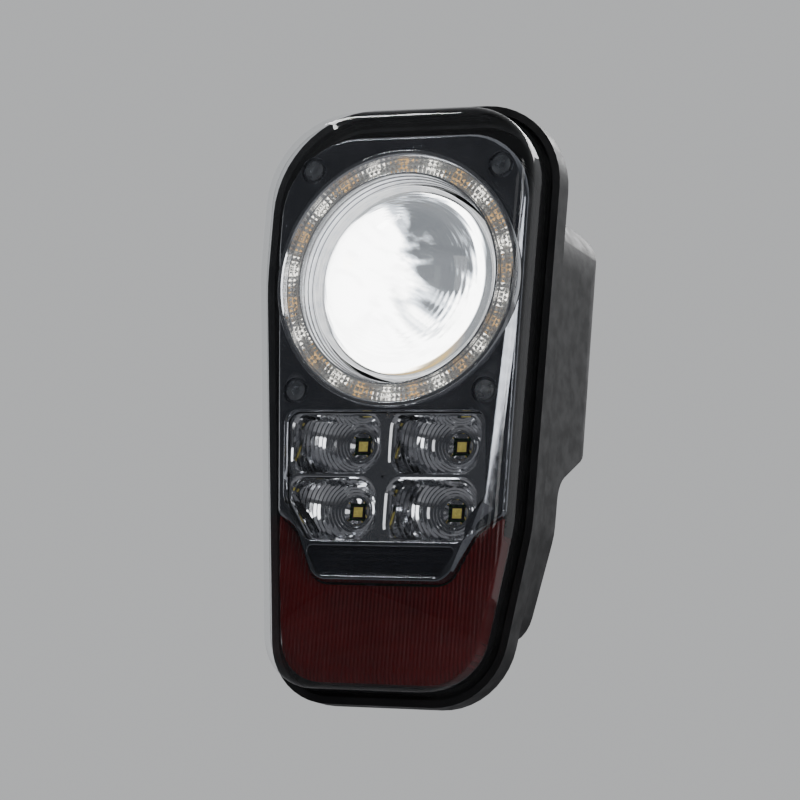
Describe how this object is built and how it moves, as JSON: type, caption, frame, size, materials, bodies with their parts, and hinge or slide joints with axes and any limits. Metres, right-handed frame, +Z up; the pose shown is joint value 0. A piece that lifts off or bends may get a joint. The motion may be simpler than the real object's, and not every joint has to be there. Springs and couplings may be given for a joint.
{
  "type": "combination fog lamp",
  "caption": "Tall sealed vehicle lamp with a tilting projector fog light in a jewelled halo, LED cells and a fluted red marker section below.",
  "frame": {"origin": "centre of the four mounting studs, on the rear face of the mounting gasket", "axes": "+Z up, -Y the way the lamp shines, +X to the right as seen from in front of the lamp, +Y along the studs towards the vehicle"},
  "size_m": [0.1257, 0.1345, 0.242],
  "materials": {
    "clear_cover": "clear polycarbonate, hard-coated and glossy",
    "lamp_glass": "clear optical glass, polished",
    "prism_plastic": "clear acrylic with fine prism facets",
    "smoked_plastic": "dark smoked acrylic, glossy",
    "red_plastic": "deep red acrylic with vertical flutes",
    "black_plastic": "black moulded plastic, fine satin grain",
    "bezel_chrome": "vacuum-metallised plastic, slightly smoked",
    "bright_chrome": "vacuum-metallised, mirror bright",
    "seal_rubber": "black elastomer, matt",
    "silicone": "orange-brown silicone rubber",
    "zinc_steel": "bright zinc-plated steel",
    "pin_brass": "tinned and gold-flashed brass pins",
    "board_white": "white solder mask on an aluminium board",
    "board_green": "green solder mask on glass-fibre board",
    "chip_black": "black moulded electronic parts",
    "phosphor": "yellow phosphor in clear silicone, lit",
    "main_chip": "white LED chip, brightly lit",
    "white_led": "white LED packages, faintly lit",
    "amber_led": "amber LED packages, faintly lit",
    "red_led": "red LED packages, unlit",
    "cast_aluminium": "die-cast aluminium, shot-blasted",
    "blackened_steel": "blackened steel sheet",
    "glass_nylon": "dark glass-filled nylon",
    "natural_acetal": "natural white acetal"
  },
  "bodies": {
    "housing": {"outer_lens": "clear_cover", "lens_seal": "seal_rubber", "housing_flange": "black_plastic", "rear_housing": "black_plastic", "mounting_gasket": "seal_rubber", "mounting_studs": "zinc_steel", "breather_caps": "black_plastic", "connector_inlet": "black_plastic", "connector_seal": "silicone", "connector_pins": "pin_brass", "connector_screws": "zinc_steel", "bezel": "bezel_chrome", "bezel_screws": "zinc_steel", "tray_window": "smoked_plastic", "halo_trim": "bright_chrome", "halo_funnel": "bright_chrome", "halo_lens": "prism_plastic", "halo_board": "board_white", "halo_white_leds": "white_led", "halo_amber_leds": "amber_led", "halo_backing": "black_plastic", "cell_reflector_1": "bright_chrome", "cell_reflector_2": "bright_chrome", "cell_reflector_3": "bright_chrome", "cell_reflector_4": "bright_chrome", "cluster_board": "board_green", "cluster_led_bases": "chip_black", "cluster_led_phosphors": "phosphor", "cluster_heatsink": "cast_aluminium", "cluster_screws": "zinc_steel", "red_lens": "red_plastic", "marker_reflector": "bright_chrome", "marker_board": "board_green", "marker_leds": "red_led", "driver_board": "board_green", "driver_parts": "chip_black", "driver_screws": "zinc_steel", "pivot_blocks": "glass_nylon", "pivot_bushes": "natural_acetal", "pivot_block_screws": "zinc_steel", "aim_seal": "silicone"},
    "projector": {"projector_lens": "lamp_glass", "lens_retainer": "bright_chrome", "lens_barrel": "cast_aluminium", "trunnion_pins": "zinc_steel", "cutoff_shield": "blackened_steel", "projector_reflector": "bright_chrome", "main_led_board": "board_white", "main_led": "main_chip", "heat_sink": "cast_aluminium", "heat_sink_screws": "zinc_steel", "aim_arm": "cast_aluminium", "aim_arm_screws": "zinc_steel"},
    "adjuster": {"aim_screw": "zinc_steel", "aim_knob": "black_plastic"},
    "adjuster_nut": {"aim_nut": "natural_acetal"}
  },
  "joints": [
    {"name": "adjuster_turn", "type": "hinge", "parent": "housing", "child": "adjuster", "pos_m": [0, 0.0773, 0.1], "axis": [0, 1, 0], "range_deg": [-1220, 1220]},
    {"name": "nut_slide", "type": "slide", "parent": "housing", "child": "adjuster_nut", "axis": [0, 1, 0], "range_m": [-0.00271, 0.00271]},
    {"name": "projector_tilt", "type": "hinge", "parent": "housing", "child": "projector", "pos_m": [0, 0.003, 0.048], "axis": [1, 0, 0], "range_deg": [-3, 3]}
  ],
  "couplings": [
    {"joint": "nut_slide", "follows": "adjuster_turn", "m_per_rad": 0.00012732},
    {"joint": "projector_tilt", "follows": "adjuster_turn", "ratio": -0.002459}
  ]
}
